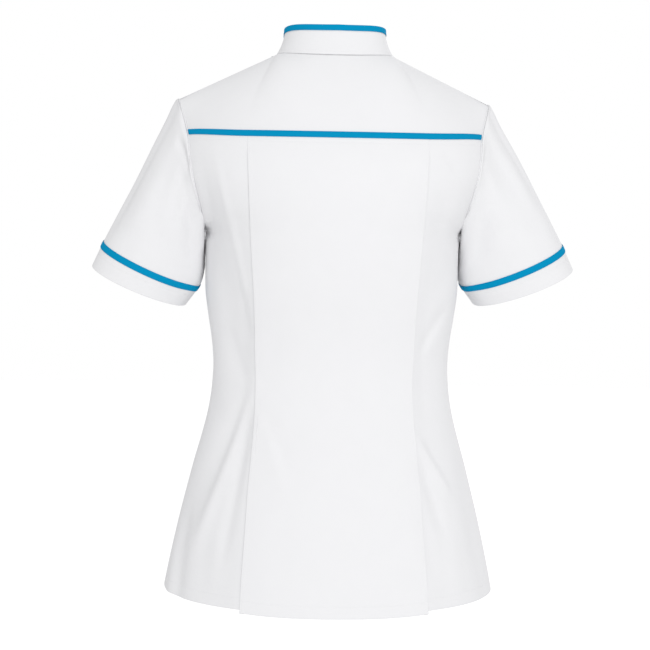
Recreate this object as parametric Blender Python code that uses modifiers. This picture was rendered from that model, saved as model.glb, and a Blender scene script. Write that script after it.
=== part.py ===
# A women's short-sleeved medical tunic with a stand collar and blue piping,
# filled out as if worn. The front faces -Y, the back +Y, and the wearer's left
# side is at +X. The origin is the middle of the neck opening, at the height of
# the collar seam at the back. Constants and tables are in millimetres, and a
# drop is a distance below the origin.

import bpy
import numpy as np

MM = 0.001

# Cloth and seams
WALL = 1.4
TRIM_WALL = 1.0
SEAM_GAP = 0.6
SHOULDER_GAP = 1.0
ARMHOLE_GAP = 1.4
# How far the sleeve's edge stands off the armhole, as a turned seam holds it
ARMHOLE_LIFT = 0.8
LAY_GAP = 0.55

# Neck and shoulders
NECK_HALF_WIDTH = 75
NECK_BACK = 50
NECK_FRONT = -66
NECK_POINT_Y = -8
NECK_POINT_RISE = 5
NECK_FRONT_DROP = 55
NECK_FRONT_CURVE = 1.4
SHOULDER_TIP = (198.5, -14, -53.5)

# Where the back's and the front's shoulders pass into their sections
YOKE_DROP = 105
YOKE_END_RISE = 6
CHEST_DROP = 135
UNDERARM_DROP = 218

# Hem
HEM_DROP = 694
HEM_SIDE_RISE = 21
FRONT_HEM_DROP = 688
FRONT_HEM_SIDE_RISE = 15
CENTRE_PANEL_STEP = 1.2
CENTRE_PANEL_OVERHANG = 4

# Trim
PIPING_WIDTH = 8.5
PIPING_CROWN = 0.5
BINDING_DEPTH = 7
BINDING_TURN = 0.7
# How far the ends of the collar and of the straight trims are drawn in
TRIM_END = 0.9
# Where the fly strip ends, as a share of the way from the centre to the front's line
PLACKET_EDGE = 0.115
PLACKET_TOP_DROP = 2.5

# How square the sections are: 1 is an ellipse, and less is squarer
BACK_POWER = 0.9
FRONT_POWER = 0.84

# Number of cells in each stretch of a panel
CENTRE_CELLS = 7
SIDE_CELLS = 9
YOKE_CELLS = 5
ARMHOLE_CELLS = 6
BACK_SKIRT_CELLS = 19
FRONT_CENTRE_CELLS = 6
FRONT_SIDE_CELLS = 8
CHEST_CELLS = 5
FRONT_ARMHOLE_CELLS = 4
FRONT_SKIRT_CELLS = 18
# Above 1, rows lie closer together at the shoulder, where the cloth bends most
TOP_SPACING = 1.5

# Colour, roughness and metallic value of each finish
WHITE_CLOTH = ((0.88, 0.88, 0.90, 1), 0.85, 0)
BLUE_TRIM = ((0.004, 0.27, 0.53, 1), 0.7, 0)


def table(columns, rows):
    """A short table as one array for each named column."""
    values = np.array(rows, float)
    return {name: values[:, i] for i, name in enumerate(columns.split())}


# Half sections of the back, from the armhole (later the side seam) to the
# centre, with the angle that the section has turned through at that edge
BACK = table("drop edge_x edge_y middle_y turn", [
    (90, 188.0, 22, 93, 58),
    (105, 185.0, 32, 100, 60),
    (120, 184.0, 40, 106, 61),
    (137, 182.0, 45, 111, 62),
    (153, 179.5, 47, 113.5, 64),
    (170, 175.5, 44, 114.5, 68),
    (185, 171.5, 38, 114.5, 72),
    (199, 168.0, 29, 113.5, 78),
    (209, 166.0, 18, 112.5, 83),
    (215, 165.0, 5, 112, 87),
    (218, 164.5, -10, 111.5, 90),
    (236, 162.8, -10, 109.5, 90),
    (260, 162.0, -10, 106.5, 90),
    (298, 161.4, -10, 100, 90),
    (330, 157.2, -10, 93, 90),
    (360, 152.6, -10, 87, 90),
    (391, 150.2, -10, 83, 90),
    (422, 152.0, -10, 84, 90),
    (452, 156.7, -10, 90, 90),
    (483, 164.4, -10, 99, 90),
    (514, 173.2, -10, 110, 90),
    (545, 181.1, -10, 119, 90),
    (576, 188.8, -10, 126, 90),
    (606, 195.7, -10, 132, 90),
    (637, 202.3, -10, 137, 90),
    (668, 208.4, -10, 141, 90),
    (700, 214.0, -10, 144, 90),
])

# The same for the front. Its side seam is the back's
FRONT = table("drop edge_x edge_y middle_y turn", [
    (110, 176.0, -56, -106, 58),
    (135, 171.0, -62.5, -119, 61),
    (153, 168.5, -64, -127, 64),
    (170, 166.8, -62, -134, 68),
    (185, 165.8, -57, -139, 73),
    (199, 165.0, -48, -142.5, 79),
    (209, 164.6, -37, -145, 84),
    (215, 164.5, -24, -146, 87),
    (218, 164.5, -10, -146.5, 90),
    (240, 162.6, -10, -148, 90),
    (270, 162.0, -10, -146.5, 90),
    (298, 161.4, -10, -141, 90),
    (330, 157.2, -10, -131, 90),
    (360, 152.6, -10, -122, 90),
    (391, 150.2, -10, -117, 90),
    (422, 152.0, -10, -118, 90),
    (452, 156.7, -10, -122, 90),
    (483, 164.4, -10, -127, 90),
    (514, 173.2, -10, -132, 90),
    (545, 181.1, -10, -137, 90),
    (576, 188.8, -10, -141, 90),
    (606, 195.7, -10, -144, 90),
    (637, 202.3, -10, -147, 90),
    (668, 208.4, -10, -149.5, 90),
    (700, 214.0, -10, -152, 90),
])

# Distance of the long back seams from the centre, and of the same line in front
BACK_SEAM = table("drop x", [
    (90, 114), (114, 113.2), (220, 108), (258, 105.5), (321, 101.4), (383, 99.2),
    (413, 98), (450, 99.4), (503, 103.2), (544, 106.9), (599, 110.5), (662, 114.7),
    (700, 116.5),
])
FRONT_LINE_X = 108

# Largest folds of the body. A depth above 0 is a ridge, below 0 a trough
BODY_FOLDS = table("face start_x start_drop end_x end_drop half_width depth", [
    (1, 166, 158, 128, 300, 15, -4.0),
    (1, 143, 150, 112, 315, 13, 2.6),
    (1, 118, 290, 102, 372, 11, -3.0),
    (1, 92, 426, 185, 596, 13, -4.0),
    (1, 108, 468, 160, 588, 12, 3.2),
    (1, 104, 484, 124, 616, 11, -3.2),
    (1, 84, 440, 46, 520, 14, -1.6),
    (1, -146, 322, -114, 376, 12, -2.6),
    (1, -94, 486, -124, 556, 12, 2.4),
    (1, -110, 478, -150, 570, 12, -2.6),
    (1, -158, 190, -140, 300, 14, -2.4),
    (-1, 150, 205, 96, 262, 14, -3.4),
    (-1, -150, 208, -98, 266, 14, -3.0),
    (-1, 118, 330, 96, 420, 13, -3.0),
    (-1, -114, 336, -92, 410, 13, -3.4),
    (-1, 96, 430, 152, 600, 14, -3.4),
    (-1, -100, 440, -168, 590, 14, -3.0),
    (-1, -60, 470, -84, 640, 15, 2.8),
    (-1, 52, 480, 66, 640, 15, 2.4),
])
FOLD_FADE_AT_EDGE = 0.3

# Guide lines of a sleeve from the armhole (0) to the hem (1). The outer and
# inner lines are its sides, and the others its lowest line behind and in front
SLEEVE = table("station outer_x outer_z inner_x inner_y inner_z back_y front_y droop", [
    (0.00, 198.5, -53.5, 165.0, -12, -217.5, 46, -62, 2),
    (0.02, 202.6, -56.4, 165.2, -14, -219.0, 45, -62, 2),
    (0.05, 206.0, -61.8, 165.4, -16, -221.5, 43, -63, 3),
    (0.12, 212.9, -77.0, 165.4, -19, -227.0, 39, -65, 4),
    (0.30, 231.5, -114.0, 164.4, -26, -241.0, 33, -69, 7),
    (0.50, 252.4, -156.0, 164.0, -31, -257.0, 29, -71, 9),
    (0.70, 274.6, -198.0, 164.4, -34, -273.0, 26, -72, 11),
    (0.87, 294.4, -236.6, 171.0, -36, -289.0, 24, -71, 12),
    (1.00, 306.8, -263.5, 186.5, -37, -310.4, 21, -68, 12),
])
SLEEVE_OUTER_Y = -14
# How much squarer than an oval the sleeve's back is toward its inner line, and how far it
# hangs in toward the body beside that line, at which turn and how far round. Past about
# 5.5 mm it would meet the body
SLEEVE_INNER_SQUARE = 0.3
SLEEVE_INNER_PRESS = 5
SLEEVE_PRESS_TURN = 145
SLEEVE_PRESS_HALF_TURN = 19
# How much further out and down the sleeves reach at the hem, left (1) and right (-1)
SLEEVE_REACH = {1: (0, -5), -1: (6, 0)}
SLEEVE_REACH_BLEND = 0.5
SLEEVE_PIPING_STATION = 0.866
SLEEVE_ROWS = (0, 0.02, 0.05, 0.11, 0.19, 0.29, 0.39, 0.5, 0.61, 0.72, 0.8, SLEEVE_PIPING_STATION)
BAND_ROWS = (SLEEVE_PIPING_STATION, 0.935, 1)
ARMHOLE_BLEND = 0.6

# Largest folds of the sleeves. A turn runs round the sleeve from its outer line
# (0) over the back (90), the inner line (180) and the front (270)
SLEEVE_FOLDS = table("side start_turn start_station end_turn end_station half_turn depth", [
    (1, 42, 0.10, 30, 0.95, 13, -3.2),
    (1, 68, 0.06, 86, 0.62, 13, 2.4),
    (1, 112, 0.10, 128, 0.66, 13, -3.2),
    (1, 232, 0.10, 222, 0.70, 15, -3.0),
    (1, 300, 0.14, 288, 0.80, 15, -2.4),
    (-1, 50, 0.10, 40, 0.85, 14, -2.6),
    (-1, 104, 0.12, 124, 0.70, 14, -3.0),
    (-1, 236, 0.10, 226, 0.75, 15, -3.0),
    (-1, 296, 0.14, 300, 0.80, 15, -2.4),
])

# Stand collar, from the centre back (0) over the neck point (1) to the front (2)
COLLAR = table("place height lean", [
    (0, 38.2, 6), (0.5, 36.8, 8), (1, 33, 10.5), (1.4, 32, 9), (1.84, 30.5, 8), (2, 23.5, 7.5),
])
COLLAR_ROWS = (0.5, 0.25, 0)


def spline(xs, ys, x):
    """Value at x of a smooth curve through the points, with slopes from their neighbours."""
    x = np.clip(x, xs[0], xs[-1])
    slopes = np.gradient(ys, xs)
    i = np.clip(np.searchsorted(xs, x) - 1, 0, len(xs) - 2)
    step = xs[i + 1] - xs[i]
    t = (x - xs[i]) / step
    start = ys[i] * (1 + 2 * t) * (1 - t) ** 2 + slopes[i] * step * t * (1 - t) ** 2
    end = ys[i + 1] * t ** 2 * (3 - 2 * t) - slopes[i + 1] * step * t ** 2 * (1 - t)
    return start + end


def ease(t):
    """0 to 1 with level ends."""
    t = np.clip(t, 0, 1)
    return t * t * (3 - 2 * t)


def unit(vectors):
    return vectors / np.maximum(np.linalg.norm(vectors, axis=-1, keepdims=True), 1e-9)


def curve_share(points):
    """How far along a line of points each one lies, from 0 to 1."""
    steps = np.linalg.norm(np.diff(points, axis=0), axis=1)
    along = np.concatenate(([0], np.cumsum(steps)))
    return along / along[-1]


def section_point(half, seam_x, power, across, drop):
    """Point of a half section: across is 0 at the centre, 1 at the long seam and 2 at the edge."""
    edge_x, edge_y, middle_y, turn = (
        spline(half["drop"], half[name], drop) for name in ("edge_x", "edge_y", "middle_y", "turn"))
    turn = np.radians(turn)
    seam_angle = np.arcsin(np.sin(turn) * (seam_x / edge_x) ** (1 / power))
    angle = np.where(across < 1, seam_angle * across, seam_angle + (turn - seam_angle) * (across - 1))
    x = edge_x * (np.sin(angle) / np.sin(turn)) ** power
    last = np.clip(np.cos(turn), 0, 1) ** power
    y = edge_y + (middle_y - edge_y) * (np.clip(np.cos(angle), 0, 1) ** power - last) / (1 - last)
    return np.stack((x, y, -drop), -1)


def back_section(across, drop):
    return section_point(BACK, spline(BACK_SEAM["drop"], BACK_SEAM["x"], drop), BACK_POWER, across, drop)


def front_section(across, drop):
    return section_point(FRONT, FRONT_LINE_X, FRONT_POWER, across, drop)


def armhole_drops(half, first_drop):
    """Drops that lie evenly along the armhole, from first_drop (0) to the underarm (1)."""
    drops = np.linspace(first_drop, UNDERARM_DROP, 60)
    line = np.stack([spline(half["drop"], half[name], drops) for name in ("edge_x", "edge_y")] + [drops], -1)
    return curve_share(line), drops


def seam_drop(centre_drop, side_rise, across, power):
    """A line that rises from the centre towards the edge."""
    return centre_drop - side_rise * (across / 2) ** power


def row_drop(half, across, down, first, last, underarm_down):
    """Drop of a row: down is 1 at the first line, underarm_down at the underarm and 2 at the hem."""
    upper = np.clip((down - 1) / (underarm_down - 1), 0, 1)
    shares, drops = armhole_drops(half, first[1])
    even = first[0] + (UNDERARM_DROP - first[0]) * upper
    along_armhole = np.interp(upper, shares, drops)
    pull = np.clip(across - 1, 0, 1) ** 2
    lower = np.clip((down - underarm_down) / (2 - underarm_down), 0, 1)
    return (even + (along_armhole - even) * pull) + (last - UNDERARM_DROP) * lower


BACK_UNDERARM = 1 + ARMHOLE_CELLS / (ARMHOLE_CELLS + BACK_SKIRT_CELLS)
FRONT_UNDERARM = 1 + FRONT_ARMHOLE_CELLS / (FRONT_ARMHOLE_CELLS + FRONT_SKIRT_CELLS)


def shoulder_point(across):
    """Point of the shoulder seam, from the neck point (1) to the tip (2)."""
    neck = np.array((NECK_HALF_WIDTH, NECK_POINT_Y, NECK_POINT_RISE))
    return neck + (np.array(SHOULDER_TIP) - neck) * np.clip(across - 1, 0, 1)[..., None]


def back_top(across):
    """Back neckline (0 to 1), then the shoulder seam (1 to 2)."""
    angle = np.radians(90) * np.clip(across, 0, 1)
    neck = np.stack((
        NECK_HALF_WIDTH * np.sin(angle) ** BACK_POWER,
        NECK_POINT_Y + (NECK_BACK - NECK_POINT_Y) * np.clip(np.cos(angle), 0, 1) ** BACK_POWER,
        NECK_POINT_RISE * np.sin(angle) ** 2), -1)
    return np.where((across < 1)[..., None], neck, shoulder_point(across))


def front_top(across):
    """Front neckline from the centre (0) to the neck point (1), then the shoulder seam (1 to 2)."""
    angle = np.radians(90) * np.clip(across, 0, 1)
    forward = np.clip(np.cos(angle), 0, 1) ** BACK_POWER
    neck = np.stack((
        NECK_HALF_WIDTH * np.sin(angle) ** BACK_POWER,
        NECK_POINT_Y + (NECK_FRONT - NECK_POINT_Y) * forward,
        NECK_POINT_RISE - (NECK_FRONT_DROP + NECK_POINT_RISE) * forward ** NECK_FRONT_CURVE), -1)
    return np.where((across < 1)[..., None], neck, shoulder_point(across))


def top_direction(across, forward, steep, level):
    """Direction in which the cloth leaves the neckline or shoulder seam, and how far it dips."""
    dip = np.radians(steep + (level - steep) * ease(across))
    return np.stack((0 * dip, forward * np.cos(dip), -np.sin(dip)), -1)


def bridge(top, top_way, bottom, bottom_way, t):
    """Cubic from the top point to the bottom point that leaves and arrives in the given directions."""
    reach = np.linalg.norm(bottom - top, axis=-1, keepdims=True)
    t = t[..., None]
    return (top * (1 + 2 * t) * (1 - t) ** 2 + bottom * t ** 2 * (3 - 2 * t)
            + reach * (top_way * t * (1 - t) ** 2 - bottom_way * t ** 2 * (1 - t)))


def back_base(across, down):
    """The back without folds, for across 0 to 2. down is 0 at the top, 1 at the yoke seam, 2 at the hem."""
    yoke = seam_drop(YOKE_DROP, YOKE_END_RISE, across, 2)
    hem = seam_drop(HEM_DROP, HEM_SIDE_RISE, across, 2.2)
    first = (yoke, YOKE_DROP - YOKE_END_RISE)
    lower = back_section(across, row_drop(BACK, across, down, first, hem, BACK_UNDERARM))
    seam = back_section(across, yoke)
    arrive = unit(back_section(across, yoke + 3) - back_section(across, yoke - 3))
    upper = bridge(back_top(across), top_direction(across, 1, 58, 2), seam, arrive, np.clip(down, 0, 1))
    return np.where((down < 1)[..., None], upper, lower)


def front_base(across, down):
    """The front without folds. down is 0 at the top, 1 at the chest line and 2 at the hem."""
    chest = CHEST_DROP + 0 * across
    hem = seam_drop(FRONT_HEM_DROP, FRONT_HEM_SIDE_RISE, across, 2.2)
    first = (chest, CHEST_DROP)
    lower = front_section(across, row_drop(FRONT, across, down, first, hem, FRONT_UNDERARM))
    seam = front_section(across, chest)
    arrive = unit(front_section(across, chest + 3) - front_section(across, chest - 3))
    upper = bridge(front_top(across), top_direction(across, -1, 50, 2), seam, arrive, np.clip(down, 0, 1))
    return np.where((down < 1)[..., None], upper, lower)


def body_fold(face, x, drop, across):
    """Height of the body's folds, which fade out at the armhole and side seam."""
    height = 0 * x
    folds = BODY_FOLDS
    for i in np.flatnonzero(folds["face"] == face):
        along = (drop - folds["start_drop"][i]) / (folds["end_drop"][i] - folds["start_drop"][i])
        line_x = folds["start_x"][i] + (folds["end_x"][i] - folds["start_x"][i]) * along
        taper = ease(along / 0.3) * ease((1 - along) / 0.3)
        height = height + folds["depth"][i] * taper * np.exp(-((x - line_x) / folds["half_width"][i]) ** 2)
    return height * ease((2 - across) / FOLD_FADE_AT_EDGE)


def body_surface(face, across, down, out=0):
    """Point of the back (face 1) or front (face -1), moved out. across runs from -2 to 2."""
    base = back_base if face > 0 else front_base
    side = np.where(across < 0, -1, 1)

    def at(a, d):
        sign = np.where(a < 0, -1, 1)
        return base(np.abs(a), d) * np.stack((sign, 1 + 0 * sign, 1 + 0 * sign), -1)

    step = 0.01
    low_a, high_a = np.clip(across - step, -2, 2), np.clip(across + step, -2, 2)
    low_d, high_d = np.clip(down - step, 0, 2), np.clip(down + step, 0, 2)
    normal = face * unit(np.cross(at(high_a, down) - at(low_a, down), at(across, high_d) - at(across, low_d)))
    points = base(np.abs(across), down)
    points[..., 0] *= side
    height = body_fold(face, points[..., 0], -points[..., 2], np.abs(across))
    return points + normal * (height + out)[..., None]


def body_grid(face, across, down, out=0):
    """Grid of points with rows down the cloth and columns across it."""
    a, d = np.meshgrid(np.asarray(across, float), np.asarray(down, float))
    return body_surface(face, a, d, out + 0 * a)


def cells(*stretches):
    """Rising values over stretches of (start, end, cells)."""
    parts = [np.linspace(start, end, count, endpoint=False) for start, end, count in stretches]
    return np.append(np.concatenate(parts), stretches[-1][1])


BACK_ACROSS = cells((0, 1, CENTRE_CELLS), (1, 2, SIDE_CELLS))
FRONT_ACROSS = cells(
    (0, PLACKET_EDGE, 1), (PLACKET_EDGE, 1, FRONT_CENTRE_CELLS - 1), (1, 2, FRONT_SIDE_CELLS))
YOKE_DOWN = cells((0, 1, YOKE_CELLS)) ** TOP_SPACING
BACK_DOWN = cells((1, BACK_UNDERARM, ARMHOLE_CELLS), (BACK_UNDERARM, 2, BACK_SKIRT_CELLS))
FRONT_DOWN = np.concatenate((
    cells((0, 1, CHEST_CELLS))[:-1] ** TOP_SPACING,
    cells((1, FRONT_UNDERARM, FRONT_ARMHOLE_CELLS), (FRONT_UNDERARM, 2, FRONT_SKIRT_CELLS))))


def drawn_in(points, top=0, bottom=0, first=0, last=0):
    """A grid with its outer rows and columns drawn in by the given distances."""
    points = points.copy()
    points[0] += unit(points[1] - points[0]) * top
    points[-1] += unit(points[-2] - points[-1]) * bottom
    points[:, 0] += unit(points[:, 1] - points[:, 0]) * first
    points[:, -1] += unit(points[:, -2] - points[:, -1]) * last
    return points


def edge_draw(down, underarm):
    """How far a panel's outer edge is drawn in, row by row: more at the armhole than at the side seam."""
    return np.where(down < underarm + 0.001, ARMHOLE_GAP / 2, SEAM_GAP / 2)[:, None]


def mirrored(points):
    """The other side's grid, with its columns turned round so that it still faces out."""
    return points[:, ::-1] * np.array((-1, 1, 1))


def finish(name, look):
    colour, roughness, metallic = look
    material = bpy.data.materials.new(name)
    material.use_nodes = True
    shader = material.node_tree.nodes["Principled BSDF"]
    shader.inputs["Base Color"].default_value = colour
    shader.inputs["Roughness"].default_value = roughness
    shader.inputs["Metallic"].default_value = metallic
    return material


def sheet(name, points, wall, look, ring=False):
    """A cloth piece: the open surface through a grid of points, thickened inwards."""
    rows, columns = points.shape[:2]
    index = np.arange(rows * columns).reshape(rows, columns)
    if ring:
        index = np.column_stack((index, index[:, :1]))
    quads = np.stack((index[:-1, :-1], index[:-1, 1:], index[1:, 1:], index[1:, :-1]), -1)
    mesh = bpy.data.meshes.new(name)
    mesh.from_pydata((points.reshape(-1, 3) * MM).tolist(), [], quads.reshape(-1, 4).tolist())
    mesh.shade_smooth()
    mesh.materials.append(finish(name, look))
    piece = bpy.data.objects.new(name, mesh)
    solidify = piece.modifiers.new("Cloth wall", "SOLIDIFY")
    solidify.thickness = wall * MM
    solidify.offset = -1
    solidify.use_even_offset = True
    return piece


def back_yoke():
    across = np.concatenate((-BACK_ACROSS[:0:-1], BACK_ACROSS))
    points = body_grid(1, across, YOKE_DOWN)
    half, side = SEAM_GAP / 2, ARMHOLE_GAP / 2
    return sheet("back_yoke", drawn_in(points, SHOULDER_GAP / 2, half, side, side), WALL, WHITE_CLOTH)


def back_centre():
    """Centre back panel, which stands a little proud of the side backs and hangs a little lower."""
    across = np.concatenate((-BACK_ACROSS[CENTRE_CELLS:0:-1], BACK_ACROSS[:CENTRE_CELLS + 1]))
    a, d = np.meshgrid(across, BACK_DOWN)
    points = body_surface(1, a, d, CENTRE_PANEL_STEP * ease((d - 1) / 0.08))
    points[-1, :, 2] -= CENTRE_PANEL_OVERHANG
    half = SEAM_GAP / 2
    return sheet("back_centre", drawn_in(points, half, 0, half, half), WALL, WHITE_CLOTH)


def back_side(side):
    across = side * BACK_ACROSS[CENTRE_CELLS:]
    points = body_grid(1, across[::side], BACK_DOWN)
    half, edge = SEAM_GAP / 2, edge_draw(BACK_DOWN, BACK_UNDERARM)
    ends = (half, edge) if side > 0 else (edge, half)
    name = "back_side_left" if side > 0 else "back_side_right"
    return sheet(name, drawn_in(points, half, 0, *ends), WALL, WHITE_CLOTH)


def front(side):
    across = side * FRONT_ACROSS
    points = body_grid(-1, across[::-side], FRONT_DOWN)
    half, edge = SEAM_GAP / 2, edge_draw(FRONT_DOWN, FRONT_UNDERARM)
    ends = (edge, half) if side > 0 else (half, edge)
    name = "front_left" if side > 0 else "front_right"
    return sheet(name, drawn_in(points, SHOULDER_GAP / 2, 0, *ends), WALL, WHITE_CLOTH)


def front_placket():
    """Fly strip made from the fronts' own points, moved out over the centre front join."""
    across = (FRONT_ACROSS[1], 0, -FRONT_ACROSS[1])
    points = body_grid(-1, across, FRONT_DOWN, LAY_GAP + WALL)
    return sheet("front_placket", drawn_in(points, top=PLACKET_TOP_DROP), WALL, WHITE_CLOTH)


def yoke_piping():
    """Strip over the yoke seam, crowned along its middle."""
    across = np.concatenate((-BACK_ACROSS[:0:-1], BACK_ACROSS))
    rise = LAY_GAP + TRIM_WALL
    low, middle, high = (body_grid(1, across, (1,), rise + extra)[0] for extra in (0, PIPING_CROWN, 0))
    down = unit(body_grid(1, across, (1.004,))[0] - body_grid(1, across, (0.98,))[0])
    points = np.stack((high - down * PIPING_WIDTH / 2, middle, low + down * PIPING_WIDTH / 2))
    return sheet("yoke_piping", drawn_in(points, first=TRIM_END, last=TRIM_END), TRIM_WALL, BLUE_TRIM)


def neck_line():
    """The neckline's own panel points, clockwise from above, from centre front round to centre front,
    with the place of each in the collar's table."""
    front_across = FRONT_ACROSS[:FRONT_CENTRE_CELLS + 1]
    back_across = BACK_ACROSS[:CENTRE_CELLS + 1]
    left_front = body_grid(-1, front_across, (0,))[0]
    left_back = body_grid(1, back_across, (0,))[0]
    half = np.concatenate((left_back, left_front[-2::-1]))
    place = np.concatenate((back_across, 2 - front_across[-2::-1]))
    other = half[:0:-1] * np.array((-1, 1, 1))
    return np.concatenate((other, half)), np.concatenate((place[:0:-1], place))


def collar_grid():
    """Rows from the collar's top edge down to the neckline."""
    line, place = neck_line()
    height = spline(COLLAR["place"], COLLAR["height"], place)
    lean = spline(COLLAR["place"], COLLAR["lean"], place)
    inwards = np.stack((-line[:, 0], NECK_POINT_Y - line[:, 1], 0 * place), -1)
    inwards = unit(inwards)
    rises = [1 + 0 * place, 1 - BINDING_DEPTH / height] + [rise + 0 * place for rise in COLLAR_ROWS]
    rows = [line + np.outer(height * rise, (0, 0, 1)) + inwards * (lean * (1 - (1 - rise) ** 2))[:, None]
            for rise in rises]
    return np.stack(rows)


def collar_stand():
    return sheet("collar_stand", drawn_in(collar_grid(), 0, SEAM_GAP, TRIM_END, TRIM_END), WALL, WHITE_CLOTH)


def collar_binding():
    """Strip folded over the collar's top edge. Its profile runs from the inside over to the outside."""
    rows = collar_grid()
    edge, lower = rows[:2]
    along = unit(np.gradient(edge, axis=0))
    out = unit(np.cross(along, lower - edge))
    lower_out = unit(np.cross(np.gradient(lower, axis=0), rows[2] - edge))
    down = np.cross(out, along)
    inner, outer = -WALL - LAY_GAP - TRIM_WALL, LAY_GAP + TRIM_WALL
    top, turn = -LAY_GAP - TRIM_WALL, BINDING_TURN
    profile = [(inner, top + turn), (inner + turn, top), (outer - turn, top), (outer, top + turn)]
    over = [edge + out * away + down * below for away, below in profile]
    points = np.stack([lower + lower_out * inner] + over + [lower + lower_out * outer])
    return sheet("collar_binding", drawn_in(points, first=TRIM_END, last=TRIM_END), TRIM_WALL, BLUE_TRIM)


def armhole():
    """The left armhole's own panel points from the shoulder tip over the back to the underarm and
    up the front, with the turn of each round the sleeve in degrees."""
    back_down = np.concatenate((YOKE_DOWN, BACK_DOWN[1:ARMHOLE_CELLS + 1]))
    front_down = FRONT_DOWN[:CHEST_CELLS + FRONT_ARMHOLE_CELLS + 1]
    back = body_grid(1, (2,), back_down, ARMHOLE_LIFT)[:, 0]
    ahead = body_grid(-1, (2,), front_down, ARMHOLE_LIFT)[:, 0]
    turns = np.concatenate((180 * curve_share(back), 360 - 180 * curve_share(ahead)[-2:0:-1]))
    return np.concatenate((back, ahead[-2:0:-1])), turns


def sleeve_ring(side, turn, station):
    """Point of a sleeve's guide ring at a turn in degrees and a station, drawn on the left side."""
    at = {name: spline(SLEEVE["station"], SLEEVE[name], station) for name in SLEEVE}
    outer = np.stack((at["outer_x"], SLEEVE_OUTER_Y + 0 * station, at["outer_z"]), -1)
    inner = np.stack((at["inner_x"], at["inner_y"], at["inner_z"]), -1)
    further, lower = SLEEVE_REACH[side]
    outer = outer + ease(station / SLEEVE_REACH_BLEND)[..., None] * np.array((further, 0, 0))
    outer = outer + ease(station)[..., None] * np.array((0, 0, lower))
    inner = inner + ease(station)[..., None] * np.array((0, 0, lower))
    centre, half = (outer + inner) / 2, (outer - inner) / 2
    sine, cosine = np.sin(np.radians(turn)), np.cos(np.radians(turn))
    depth = np.where(sine > 0, at["back_y"] - centre[..., 1], centre[..., 1] - at["front_y"])
    power = 1 - SLEEVE_INNER_SQUARE * ease((turn - 60) / 90) * (turn < 180)
    square = np.sign(sine) * np.abs(sine) ** power
    across = np.stack((0 * sine, depth * square, -at["droop"] * sine), -1)
    press = (SLEEVE_INNER_PRESS * np.exp(-((turn - SLEEVE_PRESS_TURN) / SLEEVE_PRESS_HALF_TURN) ** 2)
             * ease(station / 0.12) * ease((1 - station) / 0.25))
    return centre + half * cosine[..., None] + across + np.stack((-press, 0.15 * press, 0 * press), -1)


def sleeve_fold(side, turn, station):
    height = 0 * turn
    folds = SLEEVE_FOLDS
    for i in np.flatnonzero(folds["side"] == side):
        along = (station - folds["start_station"][i]) / (folds["end_station"][i] - folds["start_station"][i])
        line = folds["start_turn"][i] + (folds["end_turn"][i] - folds["start_turn"][i]) * along
        taper = ease(along / 0.3) * ease((1 - along) / 0.3)
        height = height + folds["depth"][i] * taper * np.exp(-((turn - line) / folds["half_turn"][i]) ** 2)
    return height


def sleeve_grid(side, stations, out=0):
    """Rows of rings down a sleeve, moved out. Both sleeves are drawn on the left side."""
    line, turns = armhole()
    line, turns = np.roll(line[::-1], 1, axis=0), np.roll(turns[::-1], 1)

    def at(rows):
        turn, station = np.meshgrid(turns, rows)
        fade = 1 - ease(station / ARMHOLE_BLEND)
        start = line - sleeve_ring(side, turns, 0 * turns)
        return sleeve_ring(side, turn, station) + start * fade[..., None]

    stations = np.asarray(stations, float)
    points = at(stations)
    round_way = np.roll(points, -1, axis=1) - np.roll(points, 1, axis=1)
    down_way = at(np.clip(stations + 0.01, 0, 1)) - at(np.clip(stations - 0.01, 0, 1))
    normal = unit(np.cross(round_way, down_way))
    turn, station = np.meshgrid(turns, stations)
    return points + normal * (sleeve_fold(side, turn, station) + out)[..., None]


def handed(points, side):
    return points if side > 0 else mirrored(points)


def sleeve(side):
    points = drawn_in(sleeve_grid(side, SLEEVE_ROWS), top=ARMHOLE_GAP / 2, bottom=SEAM_GAP / 2)
    name = "sleeve_left" if side > 0 else "sleeve_right"
    return sheet(name, handed(points, side), WALL, WHITE_CLOTH, ring=True)


def sleeve_band(side):
    points = drawn_in(sleeve_grid(side, BAND_ROWS), top=SEAM_GAP / 2)
    name = "sleeve_band_left" if side > 0 else "sleeve_band_right"
    return sheet(name, handed(points, side), WALL, WHITE_CLOTH, ring=True)


def sleeve_piping(side):
    rise = LAY_GAP + TRIM_WALL
    edge = sleeve_grid(side, (SLEEVE_PIPING_STATION,), rise)[0]
    middle = sleeve_grid(side, (SLEEVE_PIPING_STATION,), rise + PIPING_CROWN)[0]
    ends = sleeve_grid(side, (SLEEVE_PIPING_STATION - 0.02, SLEEVE_PIPING_STATION + 0.02))
    down = unit(ends[1] - ends[0])
    points = np.stack((edge - down * PIPING_WIDTH / 2, middle, edge + down * PIPING_WIDTH / 2))
    name = "sleeve_piping_left" if side > 0 else "sleeve_piping_right"
    return sheet(name, handed(points, side), TRIM_WALL, BLUE_TRIM, ring=True)


def main():
    for old in list(bpy.data.objects):
        bpy.data.objects.remove(old)
    pieces = [back_yoke(), back_centre(), front_placket(), collar_stand(), collar_binding(), yoke_piping()]
    for side in (1, -1):
        pieces += [back_side(side), front(side), sleeve(side), sleeve_band(side), sleeve_piping(side)]
    tunic = bpy.data.collections.new("medical_tunic")
    bpy.context.scene.collection.children.link(tunic)
    for piece in pieces:
        tunic.objects.link(piece)


main()
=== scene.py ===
import math

import bpy
import numpy as np
from mathutils import Matrix, Vector


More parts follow.
